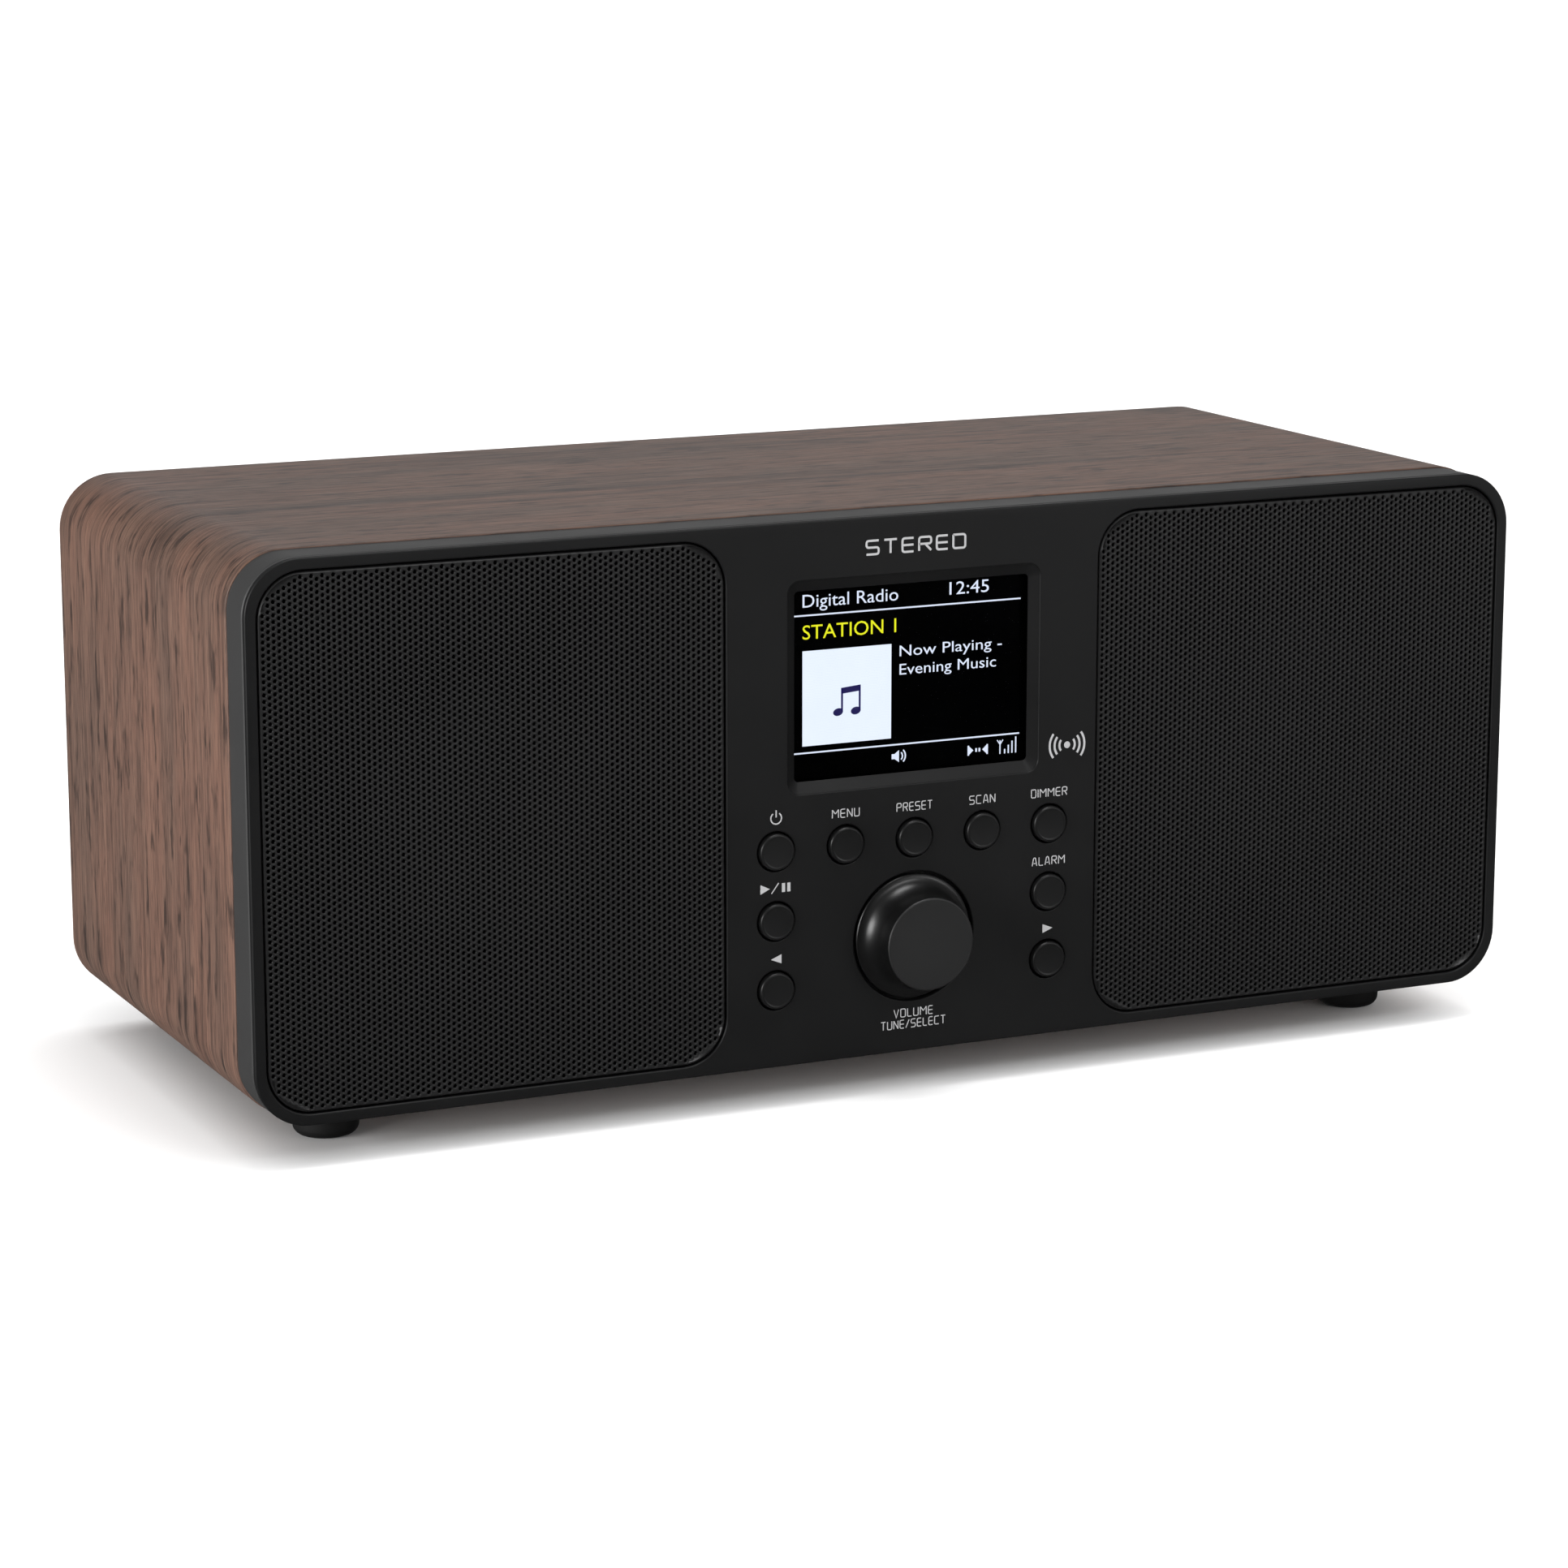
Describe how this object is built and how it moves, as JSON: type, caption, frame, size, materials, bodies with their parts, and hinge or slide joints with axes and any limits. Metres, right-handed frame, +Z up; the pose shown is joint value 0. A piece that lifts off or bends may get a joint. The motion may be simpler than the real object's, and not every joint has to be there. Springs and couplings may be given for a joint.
{
  "type": "tabletop radio",
  "caption": "Wood-sided tabletop digital radio with stereo grilles, colour screen, push buttons, turn-and-push knob and a telescopic antenna at the back.",
  "frame": {"origin": "on the floor under the middle of the whole radio's footprint", "axes": "+Z up, the front faces -Y, +X to the right as seen from the front"},
  "size_m": [0.3006, 0.147, 0.1278],
  "materials": {
    "wood_wrap": "satin",
    "frame_plastic": "satin",
    "front_plastic": "matte",
    "grille_steel": "satin",
    "window_glass": "polished",
    "screen_panel": "gloss",
    "knob_plastic": "satin",
    "button_plastic": "satin",
    "steel": "satin",
    "white_plastic": "matte",
    "can_metal": "satin",
    "circuit_board": "satin",
    "component_plastic": "satin",
    "cooler_aluminium": "satin",
    "lead_plastic": "satin",
    "back_plastic": "matte",
    "black_steel": "satin",
    "antenna_chrome": "polished",
    "foot_rubber": "matte",
    "basket_steel": "satin",
    "magnet_ferrite": "matte",
    "cone_paper": "matte",
    "ribbon_plastic": "satin"
  },
  "bodies": {
    "housing": {"cabinet": "wood_wrap", "front_frame": "frame_plastic", "fascia": "front_plastic", "grille_left": "grille_steel", "grille_right": "grille_steel", "display_window": "window_glass", "display_module": "screen_panel", "encoder_body": "can_metal", "control_board": "circuit_board", "switch_bodies": "component_plastic", "main_board": "circuit_board", "board_standoffs": "white_plastic", "board_screws": "steel", "tuner_module": "can_metal", "heat_sink": "cooler_aluminium", "capacitors": "component_plastic", "speaker_frame_left": "basket_steel", "speaker_frame_right": "basket_steel", "speaker_magnet_left": "magnet_ferrite", "speaker_magnet_right": "magnet_ferrite", "speaker_surround_left": "foot_rubber", "speaker_surround_right": "foot_rubber", "speaker_screws": "steel", "speaker_lead_left": "lead_plastic", "speaker_lead_right": "lead_plastic", "back_panel": "back_plastic", "back_screws": "black_steel", "dc_jack": "component_plastic", "headphone_jack": "component_plastic", "aux_jack": "component_plastic", "antenna_bracket": "back_plastic", "antenna_lead": "lead_plastic", "foot_front_left": "foot_rubber", "foot_front_right": "foot_rubber", "foot_back_left": "foot_rubber", "foot_back_right": "foot_rubber", "foot_screws": "steel", "ribbon_cable": "ribbon_plastic"},
    "power_button_body": {"power_button": "button_plastic"},
    "menu_button_body": {"menu_button": "button_plastic"},
    "preset_button_body": {"preset_button": "button_plastic"},
    "scan_button_body": {"scan_button": "button_plastic"},
    "dimmer_button_body": {"dimmer_button": "button_plastic"},
    "play_pause_button_body": {"play_pause_button": "button_plastic"},
    "alarm_button_body": {"alarm_button": "button_plastic"},
    "previous_button_body": {"previous_button": "button_plastic"},
    "next_button_body": {"next_button": "button_plastic"},
    "encoder_push": {"encoder_plunger": "white_plastic"},
    "knob": {"tuning_knob": "knob_plastic", "encoder_shaft": "steel"},
    "cone_left": {"speaker_cone_left": "cone_paper"},
    "cone_right": {"speaker_cone_right": "cone_paper"},
    "antenna_fork": {"antenna_knuckle": "antenna_chrome", "antenna_pin": "steel"},
    "antenna_rod_1": {"antenna_tube_1": "antenna_chrome"},
    "antenna_rod_2": {"antenna_tube_2": "antenna_chrome"},
    "antenna_rod_3": {"antenna_tube_3": "antenna_chrome"},
    "antenna_rod_4": {"antenna_tube_4": "antenna_chrome"},
    "antenna_rod_5": {"antenna_tip": "antenna_chrome"}
  },
  "joints": [
    {"name": "power_button_press", "type": "slide", "parent": "housing", "child": "power_button_body", "axis": [0, 1, 0], "range_m": [0, 0.0006], "stiffness_N_per_m": 800, "springref_m": -0.0006},
    {"name": "menu_button_press", "type": "slide", "parent": "housing", "child": "menu_button_body", "axis": [0, 1, 0], "range_m": [0, 0.0006], "stiffness_N_per_m": 800, "springref_m": -0.0006},
    {"name": "preset_button_press", "type": "slide", "parent": "housing", "child": "preset_button_body", "axis": [0, 1, 0], "range_m": [0, 0.0006], "stiffness_N_per_m": 800, "springref_m": -0.0006},
    {"name": "scan_button_press", "type": "slide", "parent": "housing", "child": "scan_button_body", "axis": [0, 1, 0], "range_m": [0, 0.0006], "stiffness_N_per_m": 800, "springref_m": -0.0006},
    {"name": "dimmer_button_press", "type": "slide", "parent": "housing", "child": "dimmer_button_body", "axis": [0, 1, 0], "range_m": [0, 0.0006], "stiffness_N_per_m": 800, "springref_m": -0.0006},
    {"name": "play_pause_button_press", "type": "slide", "parent": "housing", "child": "play_pause_button_body", "axis": [0, 1, 0], "range_m": [0, 0.0006], "stiffness_N_per_m": 800, "springref_m": -0.0006},
    {"name": "alarm_button_press", "type": "slide", "parent": "housing", "child": "alarm_button_body", "axis": [0, 1, 0], "range_m": [0, 0.0006], "stiffness_N_per_m": 800, "springref_m": -0.0006},
    {"name": "previous_button_press", "type": "slide", "parent": "housing", "child": "previous_button_body", "axis": [0, 1, 0], "range_m": [0, 0.0006], "stiffness_N_per_m": 800, "springref_m": -0.0006},
    {"name": "next_button_press", "type": "slide", "parent": "housing", "child": "next_button_body", "axis": [0, 1, 0], "range_m": [0, 0.0006], "stiffness_N_per_m": 800, "springref_m": -0.0006},
    {"name": "knob_press", "type": "slide", "parent": "housing", "child": "encoder_push", "axis": [0, 1, 0], "range_m": [0, 0.0005], "stiffness_N_per_m": 1500, "springref_m": -0.0008},
    {"name": "knob_turn", "type": "hinge", "parent": "encoder_push", "child": "knob", "pos_m": [0, -0.07, 0.035], "axis": [0, 1, 0], "continuous": true},
    {"name": "cone_left_stroke", "type": "slide", "parent": "housing", "child": "cone_left", "axis": [0, 1, 0], "range_m": [-0.0015, 0.0015], "stiffness_N_per_m": 1500, "deforming": ["speaker_surround_left"]},
    {"name": "cone_right_stroke", "type": "slide", "parent": "housing", "child": "cone_right", "axis": [0, 1, 0], "range_m": [-0.0015, 0.0015], "stiffness_N_per_m": 1500, "deforming": ["speaker_surround_right"]},
    {"name": "antenna_swivel", "type": "hinge", "parent": "housing", "child": "antenna_fork", "pos_m": [0.118, 0.07, 0.1093], "axis": [0, 1, 0], "range_deg": [0, 180]},
    {"name": "antenna_tilt", "type": "hinge", "parent": "antenna_fork", "child": "antenna_rod_1", "pos_m": [0.118, 0.07, 0.1093], "axis": [0, 0, -1], "range_deg": [0, 90]},
    {"name": "antenna_slide_1", "type": "slide", "parent": "antenna_rod_1", "child": "antenna_rod_2", "axis": [-1, 0, 0], "range_m": [0, 0.12]},
    {"name": "antenna_slide_2", "type": "slide", "parent": "antenna_rod_2", "child": "antenna_rod_3", "axis": [-1, 0, 0], "range_m": [0, 0.12]},
    {"name": "antenna_slide_3", "type": "slide", "parent": "antenna_rod_3", "child": "antenna_rod_4", "axis": [-1, 0, 0], "range_m": [0, 0.12]},
    {"name": "antenna_slide_4", "type": "slide", "parent": "antenna_rod_4", "child": "antenna_rod_5", "axis": [-1, 0, 0], "range_m": [0, 0.12]}
  ]
}
